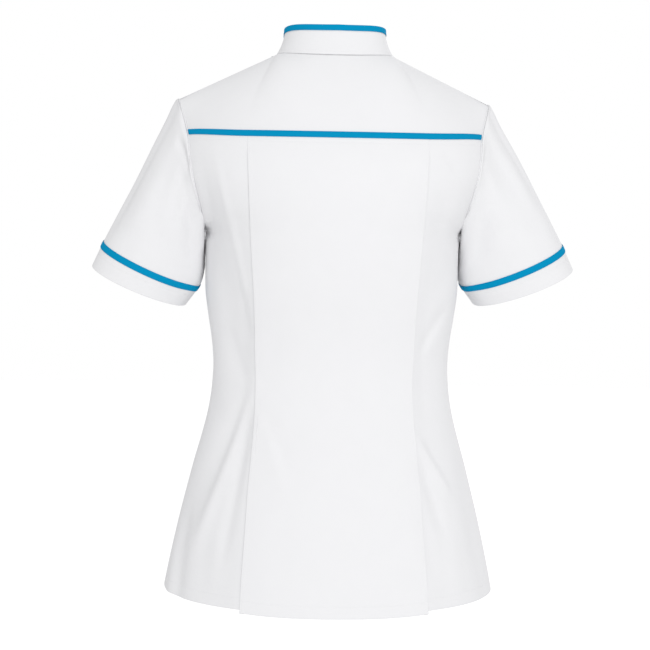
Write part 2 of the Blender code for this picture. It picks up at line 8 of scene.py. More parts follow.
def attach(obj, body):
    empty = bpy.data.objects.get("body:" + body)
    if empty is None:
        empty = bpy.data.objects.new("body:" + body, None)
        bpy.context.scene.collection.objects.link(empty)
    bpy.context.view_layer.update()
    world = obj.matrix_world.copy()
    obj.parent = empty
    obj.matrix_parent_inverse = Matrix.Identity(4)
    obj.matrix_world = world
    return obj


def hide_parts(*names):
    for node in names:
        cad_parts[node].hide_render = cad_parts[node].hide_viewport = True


# A women's medical tunic, filled out as worn and seen from behind. The front
# faces -Y and the wearer's left is at +X. Tables are in millimetres, and a drop
# is a distance below the origin, which lies in the neck opening at the height
# of the collar seam. Each cloth piece is a thin shell on its solid's form.

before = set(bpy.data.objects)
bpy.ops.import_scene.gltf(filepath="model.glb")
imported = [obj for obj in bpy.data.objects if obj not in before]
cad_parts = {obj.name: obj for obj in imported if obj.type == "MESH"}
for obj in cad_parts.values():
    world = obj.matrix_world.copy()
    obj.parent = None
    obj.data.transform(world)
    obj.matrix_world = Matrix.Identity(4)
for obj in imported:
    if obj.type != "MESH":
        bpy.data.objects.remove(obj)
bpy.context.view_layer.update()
print("frame loaded with", len(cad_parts), "solids")

mm = 0.001
gridStep = 3.2      # distance between the cloth's points, in mm

# What belongs to the whole tunic
cut = {
    "neckHalfWidth": 75, "neckPointY": -8, "neckPointRise": 5,
    "shoulderTip": (198.5, -14, -53.5),
    "underarmDrop": 218,
    "sideSeamY": -10,
    "seamHalfGap": 0.08,
}
sideNames = {1: "left", -1: "right"}

# Stitches. proud is the share of its radius that the middle of a bead stands out of the cloth
stitch = {"pitch": 3.0, "length": 2.1, "radius": 0.16, "sides": 6, "proud": 0.4}


def table(columns, rows):
    values = np.array(rows, float)
    return {name: values[:, i] for i, name in enumerate(columns.split())}


def spline(xs, ys, x):
    # cubic through the points, whose slopes come from their neighbours
    x = np.clip(x, xs[0], xs[-1])
    slopes = np.gradient(ys, xs)
    i = np.clip(np.searchsorted(xs, x) - 1, 0, len(xs) - 2)
    step = xs[i + 1] - xs[i]
    t = (x - xs[i]) / step
    start = ys[i] * (1 + 2 * t) * (1 - t) ** 2 + slopes[i] * step * t * (1 - t) ** 2
    end = ys[i + 1] * t ** 2 * (3 - 2 * t) - slopes[i + 1] * step * t ** 2 * (1 - t)
    return start + end


def ease(t):
    # 0 to 1 with level ends: 3t^2 - 2t^3
    t = np.clip(t, 0, 1)
    return t * t * (3 - 2 * t)


def unit(vectors):
    return vectors / np.maximum(np.linalg.norm(vectors, axis=-1, keepdims=True), 1e-9)


def lengthAlong(points):
    # running length of a line of points
    steps = np.linalg.norm(np.diff(points, axis=0), axis=1)
    return np.concatenate(([0], np.cumsum(steps)))


def spaced(*stretches):
    # rising values over stretches of (start, end, length in mm), one cell for each gridStep
    parts = []
    for start, end, length in stretches:
        parts.append(np.linspace(start, end, max(2, round(length / gridStep)), endpoint=False))
    return np.append(np.concatenate(parts), stretches[-1][1])


def withExtra(values, *more):
    # the same rising values with some more put in
    joined = np.sort(np.concatenate([values, np.concatenate([np.atleast_1d(m) for m in more])]))
    return joined[np.append(True, np.diff(joined) > 1e-5)]


# Half sections of the back and the front, from the armhole or side seam to the
# centre. turn is the angle that the section has turned through at its edge, which is
# a right angle from the underarm down. Both halves share the lower part of the side seam
lowerSections = table("drop edgeX backY frontY", [
    (298, 161.4, 100, -141),
    (330, 157.2, 93, -131),
    (360, 152.6, 87, -122),
    (391, 150.2, 83, -117),
    (422, 152.0, 84, -118),
    (452, 156.7, 90, -122),
    (483, 164.4, 99, -127),
    (514, 173.2, 110, -132),
    (545, 181.1, 119, -137),
    (576, 188.8, 126, -141),
    (606, 195.7, 132, -144),
    (637, 202.3, 137, -147),
    (668, 208.4, 141, -149.5),
    (700, 214.0, 144, -152),
])


def halfSections(middle, upper):
    # a half's own rows, and then the shared ones with their middleY from one column
    shared = zip(lowerSections["drop"], lowerSections["edgeX"], lowerSections[middle])
    lower = [(drop, edge, cut["sideSeamY"], depth, 90) for drop, edge, depth in shared]
    return table("drop edgeX edgeY middleY turn", upper + lower)


backSections = halfSections("backY", [
    (90, 188.0, 22, 93, 58),
    (105, 185.0, 32, 100, 60),
    (120, 184.0, 40, 106, 61),
    (137, 182.0, 45, 111, 62),
    (153, 179.5, 47, 113.5, 64),
    (170, 175.5, 44, 114.5, 68),
    (185, 171.5, 38, 114.5, 72),
    (199, 168.0, 29, 113.5, 78),
    (209, 166.0, 18, 112.5, 83),
    (215, 165.0, 5, 112, 87),
    (218, 164.5, -10, 111.5, 90),
    (236, 162.8, -10, 109.5, 90),
    (260, 162.0, -10, 106.5, 90),
])
frontSections = halfSections("frontY", [
    (110, 176.0, -56, -106, 58),
    (135, 171.0, -62.5, -119, 61),
    (153, 168.5, -64, -127, 64),
    (170, 166.8, -62, -134, 68),
    (185, 165.8, -57, -139, 73),
    (199, 165.0, -48, -142.5, 79),
    (209, 164.6, -37, -145, 84),
    (215, 164.5, -24, -146, 87),
    (218, 164.5, -10, -146.5, 90),
    (240, 162.6, -10, -148, 90),
    (270, 162.0, -10, -146.5, 90),
])

# Distance of the long back seams, and of the same line in front, from the centre
backSeam = table("drop x", [
    (90, 114), (114, 113.2), (220, 108), (258, 105.5), (321, 101.4), (383, 99.2),
    (413, 98), (450, 99.4), (503, 103.2), (544, 106.9), (599, 110.5), (662, 114.7),
    (700, 116.5),
])
frontLine = table("drop x", [(0, 108), (700, 108)])

# The back (1) and the front (-1). power tells how square a section is, and 1 is
# an ellipse. first is the line where the shoulders pass into the sections
body = {
    1: {"sections": backSections, "seam": backSeam, "power": 0.9, "neckY": 50,
        "firstDrop": 105, "firstRise": 6, "hemDrop": 694, "hemRise": 21, "steep": 58},
    -1: {"sections": frontSections, "seam": frontLine, "power": 0.84, "neckY": -66, "neckDrop": 55,
         "neckCurve": 1.4, "firstDrop": 135, "firstRise": 0, "hemDrop": 688, "hemRise": 15, "steep": 50},
}
topPower = 0.9          # how square the neckline is
underarmDown = 1.24     # the row value of the underarm

# Creases of the body. A depth above 0 is a ridge and below 0 a trough. skew makes
# one flank steep: above 0 the one away from +X
bodyCreases = table("face startX startY endX endY halfWidth depth skew", [
    # left side back, above the waist
    (1, 186, 110, 114, 425, 18, -4.6, 0),
    (1, 158, 108, 94, 392, 5, 1.4, 0),
    (1, 118, 290, 102, 372, 9, -1.8, 0.2),
    (1, 146, 330, 112, 420, 9, -1.5, 0.2),
    # left side back, over the hip
    (1, 99, 410, 204, 628, 13, -4.4, 0),
    (1, 94, 396, 184, 646, 7, 4.2, 0),
    (1, 100, 425, 148, 665, 7.5, -3.8, 0),
    (1, 122, 520, 150, 668, 9, 1.4, 0),
    (1, 184, 550, 198, 710, 6, -3.6, -0.2),
    (1, 193, 580, 207, 710, 4, 2.4, 0),
    (1, 158, 590, 166, 690, 9, -1.0, 0),
    (1, 164, 400, 140, 470, 10, -1.2, 0),
    # centre back
    (1, 90, 440, 56, 528, 8, -1.1, -0.3),
    (1, 84, 462, 62, 560, 8, 0.7, 0),
    (1, 70, 470, 34, 560, 14, -0.6, 0),
    (1, 60, 560, 74, 690, 16, -0.6, 0),
    (1, -60, 470, -82, 640, 16, -0.7, 0),
    (1, -84, 180, -90, 330, 12, -0.5, 0),
    (1, 70, 330, 84, 440, 12, -0.5, 0),
    # right side back
    (1, -150, 310, -108, 380, 6, -2.0, 0.3),
    (1, -148, 328, -112, 396, 9, 1.0, 0),
    (1, -128, 118, -156, 152, 7, -0.9, -0.3),
    (1, -134, 140, -138, 330, 15, -2.2, 0),
    (1, -158, 190, -146, 300, 10, -1.6, 0),
    (1, -100, 472, -156, 560, 6.5, 3.2, 0.2),
    (1, -104, 494, -146, 610, 8, -3.0, 0.2),
    (1, -162, 480, -190, 660, 11, -2.4, 0),
    (1, -104, 540, -128, 670, 9, -1.4, 0),
    (1, -178, 560, -200, 700, 7, -1.8, 0.2),
    (1, -150, 590, -164, 690, 10, 0.9, 0),
    # front, from the armholes and the waist
    (-1, 150, 205, 96, 262, 14, -3.4, 0.2),
    (-1, 158, 230, 112, 300, 8, -1.6, 0.2),
    (-1, -150, 208, -98, 266, 14, -3.0, -0.2),
    (-1, -158, 236, -118, 296, 8, -1.6, -0.2),
    (-1, 118, 330, 96, 420, 13, -3.0, 0),
    (-1, 142, 322, 116, 398, 8, -1.5, 0.2),
    (-1, -114, 336, -92, 410, 13, -3.4, 0),
    (-1, -140, 330, -118, 392, 8, -1.4, -0.2),
    (-1, 96, 430, 152, 600, 14, -3.4, 0),
    (-1, 110, 450, 176, 630, 8, 1.8, 0),
    (-1, -100, 440, -168, 590, 14, -3.0, 0),
    (-1, -118, 452, -184, 620, 8, 1.6, 0),
    (-1, -60, 470, -84, 640, 15, 2.8, 0),
    (-1, 52, 480, 66, 640, 15, 2.4, 0),
    (-1, 120, 120, 150, 190, 14, -1.2, 0),
    (-1, -122, 118, -148, 186, 14, -1.2, 0),
])
creaseFade = 0.3        # share of a side panel over which creases fade out at its outer edge
creaseTaper = 0.3       # share of a crease over which it tapers at each end


def creaseHeight(creases, face, u, v):
    # sum of depth * taper * bell over the face's creases. away is the distance across a
    # crease's line and t the share of the way along it
    height = 0 * u
    for i in np.flatnonzero(creases["face"] == face):
        du, dv = creases["endX"][i] - creases["startX"][i], creases["endY"][i] - creases["startY"][i]
        length = math.hypot(du, dv)
        fromX, fromY = u - creases["startX"][i], v - creases["startY"][i]
        t = (fromX * du + fromY * dv) / length ** 2
        away = (fromX * dv - fromY * du) / length
        width = creases["halfWidth"][i] * (1 + creases["skew"][i] * np.tanh(away / 3))
        bell = np.exp(-(away / width) ** 2)
        height = height + creases["depth"][i] * ease(t / creaseTaper) * ease((1 - t) / creaseTaper) * bell
    return height


def bodyCrease(face, x, drop, across):
    return creaseHeight(bodyCreases, face, x, drop) * ease((2 - across) / creaseFade)


def levelPoint(face, across, drop):
    # x = edgeX (sin a / sin turn)^p, y runs from edgeY to middleY as cos^p a. The angle a
    # passes the long seam at across 1 and the edge at across 2
    half, power = body[face]["sections"], body[face]["power"]
    names = ("edgeX", "edgeY", "middleY", "turn")
    edgeX, edgeY, middleY, turn = (spline(half["drop"], half[name], drop) for name in names)
    turn = np.radians(turn)
    seamX = spline(body[face]["seam"]["drop"], body[face]["seam"]["x"], drop)
    seamAngle = np.arcsin(np.sin(turn) * (seamX / edgeX) ** (1 / power))
    angle = np.where(across < 1, seamAngle * across, seamAngle + (turn - seamAngle) * (across - 1))
    x = edgeX * (np.sin(angle) / np.sin(turn)) ** power
    last = np.clip(np.cos(turn), 0, 1) ** power
    y = edgeY + (middleY - edgeY) * (np.clip(np.cos(angle), 0, 1) ** power - last) / (1 - last)
    return np.stack((x, y, -drop), -1)


def sectionPoint(face, across, drop):
    # away from the armhole, y is the mean over 32 mm of height, so that nothing kinks at the
    # underarm's level
    point = levelPoint(face, across, drop)
    mean = sum(share * levelPoint(face, across, drop + step)[..., 1]
               for step, share in ((-16, 1 / 9), (-8, 2 / 9), (0, 3 / 9), (8, 2 / 9), (16, 1 / 9)))
    free = 1 - ease((across - 1.25) / 0.7)
    point[..., 1] += (mean - point[..., 1]) * free
    return point


def rowDrop(face, across, down, first, last):
    # rows lie level in the middle, and evenly along the armhole at the edge
    half = body[face]["sections"]
    edgeFirst = body[face]["firstDrop"] - body[face]["firstRise"]
    drops = np.linspace(edgeFirst, cut["underarmDrop"], 60)
    line = np.stack([spline(half["drop"], half[n], drops) for n in ("edgeX", "edgeY")] + [drops], -1)
    share = lengthAlong(line) / lengthAlong(line)[-1]
    upper = np.clip((down - 1) / (underarmDown - 1), 0, 1)
    even = first + (cut["underarmDrop"] - first) * upper
    pull = np.clip(across - 1, 0, 1) ** 2
    lower = np.clip((down - underarmDown) / (2 - underarmDown), 0, 1)
    return even + (np.interp(upper, share, drops) - even) * pull + (last - cut["underarmDrop"]) * lower


def topPoint(face, across):
    # neckline as a squarish quarter oval (0 to 1), then the straight shoulder seam (1 to 2)
    shape = body[face]
    angle = np.radians(90) * np.clip(across, 0, 1)
    forward = np.clip(np.cos(angle), 0, 1) ** topPower
    rise = cut["neckPointRise"]
    if face > 0:
        z = rise * np.sin(angle) ** 2
    else:
        z = rise - (shape["neckDrop"] + rise) * forward ** shape["neckCurve"]
    y = cut["neckPointY"] + (shape["neckY"] - cut["neckPointY"]) * forward
    neck = np.stack((cut["neckHalfWidth"] * np.sin(angle) ** topPower, y, z), -1)
    corner = np.array((cut["neckHalfWidth"], cut["neckPointY"], rise))
    shoulder = corner + (np.array(cut["shoulderTip"]) - corner) * np.clip(across - 1, 0, 1)[..., None]
    return np.where((across < 1)[..., None], neck, shoulder)


def bodyHalf(face, across, down):
    # the cloth without creases. Above down 1 a cubic joins the neckline and shoulder seam to
    # the sections, and below it the sections follow one another to the hem at down 2
    shape = body[face]
    first = shape["firstDrop"] - shape["firstRise"] * (across / 2) ** 2
    hem = shape["hemDrop"] - shape["hemRise"] * (across / 2) ** 2.2
    lower = sectionPoint(face, across, rowDrop(face, across, down, first, hem))
    seam = sectionPoint(face, across, first)
    arrive = unit(sectionPoint(face, across, first + 3) - sectionPoint(face, across, first - 3))
    top = topPoint(face, across)
    dip = np.radians(shape["steep"] + (2 - shape["steep"]) * ease(across))
    leave = np.stack((0 * dip, face * np.cos(dip), -np.sin(dip)), -1)
    reach = np.linalg.norm(seam - top, axis=-1, keepdims=True)
    t = np.clip(down, 0, 1)[..., None]
    upper = (top * (1 + 2 * t) * (1 - t) ** 2 + seam * t ** 2 * (3 - 2 * t)
             + reach * (leave * t * (1 - t) ** 2 - arrive * t ** 2 * (1 - t)))
    return np.where((down < 1)[..., None], upper, lower)


def bodySurface(face, across, down, out=0):
    # points of the back or front and their normals. across runs from -2 to 2
    def at(a, d):
        sign = np.where(a < 0, -1, 1)
        return bodyHalf(face, np.abs(a), d) * np.stack((sign, 1 + 0 * sign, 1 + 0 * sign), -1)

    step = 0.01
    acrossWay = at(np.clip(across + step, -2, 2), down) - at(np.clip(across - step, -2, 2), down)
    downWay = at(across, np.clip(down + step, 0, 2)) - at(across, np.clip(down - step, 0, 2))
    normals = face * unit(np.cross(acrossWay, downWay))
    points = at(across, down)
    height = bodyCrease(face, points[..., 0], -points[..., 2], np.abs(across))
    return points + normals * (height + out)[..., None], normals


def bodyGrid(face, across, down, out=0):
    a, d = np.meshgrid(across, down)
    return bodySurface(face, a, d, out + 0 * a)


# Edge profiles: (how far past the seam line, how far out of the cloth), in mm
edges = {
    # two folded edges that meet in a fine valley and go on inside as seam allowances
    "seam": [(-1.0, 0), (-0.5, -0.06), (-0.18, -0.28), (-0.02, -0.7), (0, -1.3), (-0.1, -3), (-0.4, -6)],
    # folded edge of the raised centre panel
    "over": [(-1.0, 0), (-0.45, -0.05), (-0.12, -0.22), (0, -0.5), (-0.12, -0.78), (-0.5, -0.95),
             (-6, -1.0)],
    # folded edge that ends over its neighbour's allowance
    "lap": [(-1.2, 0), (-0.8, -0.02), (-0.5, -0.07), (-0.25, -0.15), (-0.1, -0.25), (-0.02, -0.37),
            (0, -0.5)],
    # the neighbour's allowance under it
    "under": [(-1.6, 0), (-0.8, -0.15), (-0.2, -0.55), (0.4, -0.85), (2, -1.05), (5, -1.15), (9, -1.3)],
    # the front's allowance inside the side seam
    "tucked": [(-1.6, 0), (-0.8, -0.2), (-0.2, -0.65), (0.4, -1.2), (1.2, -2.0), (2.2, -3.2), (3.2, -4.6)],
    # the allowance under the raised centre panel, turned down from the side back's own slope
    "flat": [(-1.0, 0), (0, -0.12), (1.5, -0.6), (3, -1.15), (5, -1.9), (7, -2.6), (9, -3.3)],
    # the body's allowance under a sleeve head, which bends away
    "bent": [(-0.7, 0), (-0.2, -0.04), (0.15, -0.15), (0.5, -0.4), (1.0, -0.9), (1.6, -1.8), (2.4, -3.2)],
    # rounded edge of a sleeve head, which reaches down to the body's edge
    "head": [(-1.2, 0), (-0.4, -0.03), (0.1, -0.14), (0.42, -0.36), (0.55, -0.66), (0.55, -0.95),
             (0.5, -1.2)],
    # turned hem, stitched through both layers
    "hem": [(-1.0, 0), (-0.45, -0.06), (-0.12, -0.3), (0, -0.7), (-0.12, -1.1), (-0.5, -1.35), (-5, -1.4),
            (-10, -1.35), (-14, -1.3)],
}
backEdge = ("bent", "lap", "underarm")
frontEdge = ("bent", "tucked", "underarm")
yokeTop = ("seam", "lap", "neck")
frontTop = ("seam", "under", "neck")


def edgeProfile(kind, line):
    # (past, out) of a profile's points for each point of an edge. A kind of three parts passes
    # from its first profile to its second within 6 mm of the underarm or 4 mm of the neck point
    if isinstance(kind, str):
        return np.array(edges[kind])[:, :, None] + 0 * line[:, 0]
    first, second, place = kind
    if place == "underarm":
        share = ease((-line[:, 2] - cut["underarmDrop"]) / 6 + 1)
    else:
        share = ease((np.abs(line[:, 0]) - cut["neckHalfWidth"]) / 4)
    return np.array(edges[first])[:, :, None] * (1 - share) + np.array(edges[second])[:, :, None] * share


def addEdge(points, normals, axis, end, kind):
    # carries a grid on past one of its sides along an edge profile, which takes the place of
    # its last line. end is 1 at the far end of the grid's axis and -1 at the near one
    turned = np.swapaxes(points, 0, axis)[::end]
    turnedNormals = np.swapaxes(normals, 0, axis)[::end]
    line, n = turned[-1], turnedNormals[-1]
    way = unit(line - turned[-2])
    profile = edgeProfile(kind, line)
    more = line + way * (profile[:, 0, :, None] - cut["seamHalfGap"]) + n * profile[:, 1, :, None]
    turned = np.concatenate((turned[:-1], more))[::end]
    turnedNormals = np.concatenate((turnedNormals[:-1], np.broadcast_to(n, more.shape)))[::end]
    return np.swapaxes(turned, 0, axis), np.swapaxes(turnedNormals, 0, axis)


def finishEdges(grid, top=None, bottom=None, first=None, last=None):
    points, normals = grid
    for axis, end, kind in ((0, -1, top), (0, 1, bottom), (1, -1, first), (1, 1, last)):
        if kind:
            points, normals = addEdge(points, normals, axis, end, kind)
    return points


def newPiece(name, points, faces, uv, material):
    mesh = bpy.data.meshes.new(name)
    mesh.from_pydata((points * mm).tolist(), [], faces)
    if uv is not None:
        layer = mesh.uv_layers.new(name="cloth")
        layer.data.foreach_set("uv", uv.astype(np.float32).ravel())
    mesh.shade_smooth()
    mesh.materials.append(material)
    piece = bpy.data.objects.new(name, mesh)
    bpy.context.scene.collection.objects.link(piece)
    return piece


def clothPiece(name, points, material, wall, ring, flip):
    # grid of points to a cloth with its own flat measure as UV, in mm: u runs along the rows
    # and v down the columns
    if flip:
        points = points[:, ::-1] * np.array((-1, 1, 1))
    rows, columns = points.shape[:2]
    index = np.arange(rows * columns).reshape(rows, columns)
    measured = points
    if ring:
        index = np.column_stack((index, index[:, :1]))
        measured = np.concatenate((points, points[:, :1]), axis=1)
    u = np.cumsum(np.linalg.norm(np.diff(measured, axis=1, prepend=measured[:, :1]), axis=-1), axis=1)
    v = np.cumsum(np.linalg.norm(np.diff(measured, axis=0, prepend=measured[:1]), axis=-1), axis=0)
    flat = np.stack((u - u[:, u.shape[1] // 2][:, None], v), -1)

    def corners(a):
        return np.stack((a[:-1, :-1], a[:-1, 1:], a[1:, 1:], a[1:, :-1]), 2)

    faces = corners(index).reshape(-1, 4).tolist()
    piece = newPiece(name, points.reshape(-1, 3), faces, corners(flat).reshape(-1, 2), material)
    solidify = piece.modifiers.new("Cloth wall", "SOLIDIFY")
    solidify.thickness = wall * mm
    solidify.offset = -1
    return piece


def readAt(at, run, values):
    # what stands along a line, read at other running lengths
    return np.stack([np.interp(at, run, values[:, k]) for k in range(3)], -1)


def stitchLine(name, lines, material):
    # one object for all the stitches on a piece: rows of small beads of thread, each an oval
    # carried along its line. lines is a list of (points, normals) on the piece's surface. A
    # bead is pinched at its ends: radius * sqrt(1 - s^2)
    s = np.array((-1, -0.75, 0, 0.75, 1.0))
    sides = stitch["sides"]
    ring = np.arange(sides)
    turn = ring * 2 * math.pi / sides
    along = (s * stitch["length"] / 2)[:, None, None]
    radii = (np.sqrt(np.clip(1 - s ** 2, 0.04, 1)) * stitch["radius"])[:, None, None]
    places = []
    for points, normals in lines:
        points = points + normals * (stitch["radius"] * stitch["proud"])
        run = lengthAlong(points)
        count = int(run[-1] / stitch["pitch"])
        at = (np.arange(count) + 0.5) * run[-1] / count
        middle = readAt(at, run, points)
        out = unit(readAt(at, run, normals))
        way = unit(readAt(at + 0.5, run, points) - middle)
        way[-1] = way[-2]
        side = np.cross(way, out)
        spoke = out[:, None] * np.cos(turn)[:, None] + side[:, None] * np.sin(turn)[:, None]
        rings = middle[:, None, None] + way[:, None, None] * along + spoke[:, None] * radii
        places.append(rings.reshape(-1, 3))
    places = np.concatenate(places)
    starts = np.arange(0, len(places), len(s) * sides)[:, None, None]
    j, i = np.meshgrid(ring, np.arange(len(s) - 1) * sides)
    after = (j + 1) % sides
    walls = np.stack((i + j, i + after, i + sides + after, i + sides + j), -1).reshape(-1, 4) + starts
    caps = np.stack((ring[::-1], ring + (len(s) - 1) * sides)) + starts
    faces = walls.reshape(-1, 4).tolist() + caps.reshape(-1, sides).tolist()
    return newPiece(name, places, faces, None, material)


def sewPiece(stuff, node, points, lines, ring=False, side=1):
    # a cloth or trim in place of its solid, which is hidden, and the stitches on it, both attached to the
    # root body.
    # A ring is drawn on the left side and turned over for the right one
    made = stuffs[stuff]
    piece = clothPiece(f"{node}_{stuff}", points, made["look"], made["wall"], ring, side < 0)
    stitches = [stitchLine(f"{node}_stitches", lines, made["thread"])] if lines else []
    for part in (*stitches, piece):
        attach(part, "root")
    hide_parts(node)


def firstRow(grid):
    return grid[0][0], grid[1][0]


def firstColumn(grid):
    return grid[0][:, 0], grid[1][:, 0]


class Reading:
    # a shader socket that Python's own signs reckon with
    def __init__(self, look, socket):
        self.look = look
        self.socket = socket

    def reckon(self, operation, first, second):
        node = self.look.node("ShaderNodeMath", {"operation": operation}, {0: first, 1: second})
        return Reading(self.look, node.outputs[0])

    def __add__(self, other):
        return self.reckon("ADD", self, other)

    def __radd__(self, other):
        return self.reckon("ADD", other, self)

    def __mul__(self, other):
        return self.reckon("MULTIPLY", self, other)

    def __rmul__(self, other):
        return self.reckon("MULTIPLY", other, self)

    def wave(self, period):
        # sine of the reading, once for each period
        return self.reckon("SINE", self * (2 * math.pi / period), 0)


class Look:
    # one material and the nodes that are put into it
    def __init__(self, name, roughness):
        self.material = bpy.data.materials.new(name)
        self.material.use_nodes = True
        self.tree = self.material.node_tree
        self.shader = self.tree.nodes["Principled BSDF"]
        self.shader.inputs["Roughness"].default_value = roughness

    def node(self, kind, settings=None, sockets=None):
        node = self.tree.nodes.new(kind)
        for name, value in (settings or {}).items():
            setattr(node, name, value)
        for name, value in (sockets or {}).items():
            self.feed(node.inputs[name], value)
        return node

    def feed(self, socket, value):
        if isinstance(value, Reading):
            self.tree.links.new(value.socket, socket)
        elif isinstance(value, bpy.types.NodeSocket):
            self.tree.links.new(value, socket)
        else:
            socket.default_value = value

    def cloth(self):
        # the cloth's own flat measure, in mm
        place = self.node("ShaderNodeUVMap", {"uv_map": "cloth"})
        split = self.node("ShaderNodeSeparateXYZ", sockets={0: place.outputs[0]})
        return Reading(self, split.outputs[0]), Reading(self, split.outputs[1])

    def noise(self, scale, detail=3):
        place = self.node("ShaderNodeTexCoord")
        noise = self.node("ShaderNodeTexNoise", sockets={
            "Vector": place.outputs["Object"], "Scale": scale, "Detail": detail})
        return Reading(self, noise.outputs["Fac"])

    def between(self, mix, first, second):
        node = self.node("ShaderNodeMix", {"data_type": "RGBA"})
        self.feed(node.inputs[0], mix)
        node.inputs[6].default_value = (*first, 1)
        node.inputs[7].default_value = (*second, 1)
        return node.outputs[2]

    def bump(self, height, distance, strength):
        node = self.node("ShaderNodeBump", sockets={
            "Height": height, "Distance": distance * mm, "Strength": strength})
        self.feed(self.shader.inputs["Normal"], node.outputs[0])


def wovenLook(name, dark, light, period, raised, roughness, sheen, specular):
    # fine diagonal twill over a plain thread grid, with a slight cloudiness in its colour.
    # period is the twill's, and raised how high the weave stands, in mm
    look = Look(name, roughness)
    look.shader.inputs["Sheen Weight"].default_value = sheen
    look.shader.inputs["Sheen Roughness"].default_value = 0.5
    look.shader.inputs["Specular IOR Level"].default_value = specular
    u, v = look.cloth()
    twill = (u + v * 0.6).wave(period)
    threads = u.wave(period * 0.5) * v.wave(period * 0.55)
    cloud = look.noise(38)
    grain = look.noise(900, 2)
    look.feed(look.shader.inputs["Base Color"], look.between(cloud * 0.7 + grain * 0.3, dark, light))
    look.feed(look.shader.inputs["Roughness"], grain * 0.1 + (roughness - 0.05))
    look.bump(twill * 0.5 + threads * 0.3 + grain * 0.5, raised, 0.35)
    return look.material


whiteCloth = wovenLook(
    "white_uniform_cloth", dark=(0.762, 0.762, 0.776), light=(0.785, 0.785, 0.798),
    period=0.9, raised=0.05, roughness=0.82, sheen=0.04, specular=0.12)
blueTrim = wovenLook(
    "blue_woven_trim", dark=(0.001, 0.242, 0.452), light=(0.0015, 0.272, 0.508),
    period=0.8, raised=0.06, roughness=0.78, sheen=0, specular=0.03)
whiteThread = wovenLook(
    "white_sewing_thread", dark=(0.80, 0.80, 0.81), light=(0.83, 0.83, 0.84),
    period=0.5, raised=0.02, roughness=0.7, sheen=0, specular=0.12)
blueThread = wovenLook(
    "blue_sewing_thread", dark=(0.002, 0.25, 0.48), light=(0.004, 0.28, 0.53),
    period=0.5, raised=0.02, roughness=0.55, sheen=0, specular=0.05)
stuffs = {
    "cloth": {"look": whiteCloth, "thread": whiteThread, "slot": "white_cloth", "wall": 0.5},
    "trim": {"look": blueTrim, "thread": blueThread, "slot": "blue_trim", "wall": 0.4},
}
print("materials made")

# Rows and columns of the body's grids. A stitched line lies in a shallow groove, and its
# rows and columns are closer
relief = {
    "groove": 0.18, "grooveHalf": 0.9,
    "yokeStitch": 9.5,      # below the yoke seam
    "pleatStitch": 3.6,     # from the centre panel's edge
    "pleatGroove": 0.2,     # how deep that line lies, as a share of the others
    "pleatRise": 0.15,      # how much the allowance fills the panel's edge out
    "pleatValley": 0.35,    # how far the side back is drawn in along the pleat
    "sideFall": 5, "sideFallAt": 27,    # how far the side back falls away, and how far from the pleat
    "hemStitch": 14,
    "armholeRise": 0.8, "armholeRidge": 2.6,    # pressed allowance on the sleeve, and how far from the seam
}
acrossMm, sidePanelMm = 108, 125        # widths that across 0 to 1 and 1 to 2 stand for
armholeMm, skirtMm = 113, 476           # lengths that down stands for, above and below the underarm
upperShare = (underarmDown - 1) / armholeMm     # a millimetre's share of down above the underarm
lowerShare = (2 - underarmDown) / skirtMm       # and below it
crowding = 1.3      # how much closer the rows lie toward the neckline
near = np.array((-1.8, -0.9, 0, 0.9, 1.8))      # the rows or columns by a stitched line, in mm from it
centreColumns = spaced((0, 1, 116))
sideColumns = spaced((1, 2, 135))
armholeRows = spaced((1, underarmDown, 130))
lowerRows = np.append(armholeRows[:-1], spaced((underarmDown, 2, skirtMm)))
frontTopRows = spaced((0, 1, 170)) ** crowding
yokeDown = spaced((0, 1, 135)) ** crowding

pleatAcross = 1 - (relief["pleatStitch"] + near) / acrossMm
centreAcross = withExtra(centreColumns, pleatAcross, 1 - np.array((1.6, 2.6)) / acrossMm)
sideAcross = withExtra(sideColumns, 1 + np.array((1.8, 4.4)) / sidePanelMm)
halfAcross = np.append(centreColumns, sideColumns[1:])
bothSides = np.append(-halfAcross[:0:-1], halfAcross)
yokeStitchDown = 1 + relief["yokeStitch"] * upperShare
hemStitchDown = 2 - relief["hemStitch"] * lowerShare
hemRows = hemStitchDown + near * lowerShare
skirtDown = withExtra(lowerRows, yokeStitchDown + near * upperShare, hemRows)
frontDown = np.append(frontTopRows[:-1], withExtra(lowerRows, hemRows))


def groove(away):
    # bell-shaped dip at a distance away from a stitched line
    return -relief["groove"] * np.exp(-(away / relief["grooveHalf"]) ** 2)


def hemGroove(down):
    return groove((down - hemStitchDown) / lowerShare)


back = {
    "centreStep": 1.2,      # how far the centre panel stands proud of the side backs
    "centreHang": 4,        # how far it hangs below them
    "yokeFlat": (0.45, 0.17),
    "yokeArea": 0.057,
    "centreFlat": (0.25, 0.64),
    "centreArea": 0.146,
    "sideFlat": (0.19, 0.66),
    "sideArea": 0.083,
}


def backYoke():
    points = finishEdges(bodyGrid(1, bothSides, yokeDown), yokeTop, "lap", "bent", "bent")
    sewPiece("cloth", "back_yoke", points, [])


def skirtRelief(down):
    # stitched lines below the yoke seam and over the hem
    return groove((down - yokeStitchDown) / upperShare) + hemGroove(down)


def centrePoints(across, down):
    # the panel stands proud of the side backs and its edges are filled out by the allowances
    a, d = np.meshgrid(across, down)
    fromStitch = (1 - np.abs(a)) * acrossMm - relief["pleatStitch"]
    proud = back["centreStep"] * ease((d - 1) / 0.08)
    filled = relief["pleatRise"] * (1 - ease((fromStitch + 0.5) / 3)) * ease((d - 1) / 0.05)
    sewing = relief["pleatGroove"] * groove(fromStitch) * ease((d - 1) / 0.02)
    points, normals = bodySurface(1, a, d, proud + filled + sewing + skirtRelief(d))
    points[..., 2] -= back["centreHang"] * ease((d - 1.9) / 0.1)
    return points, normals


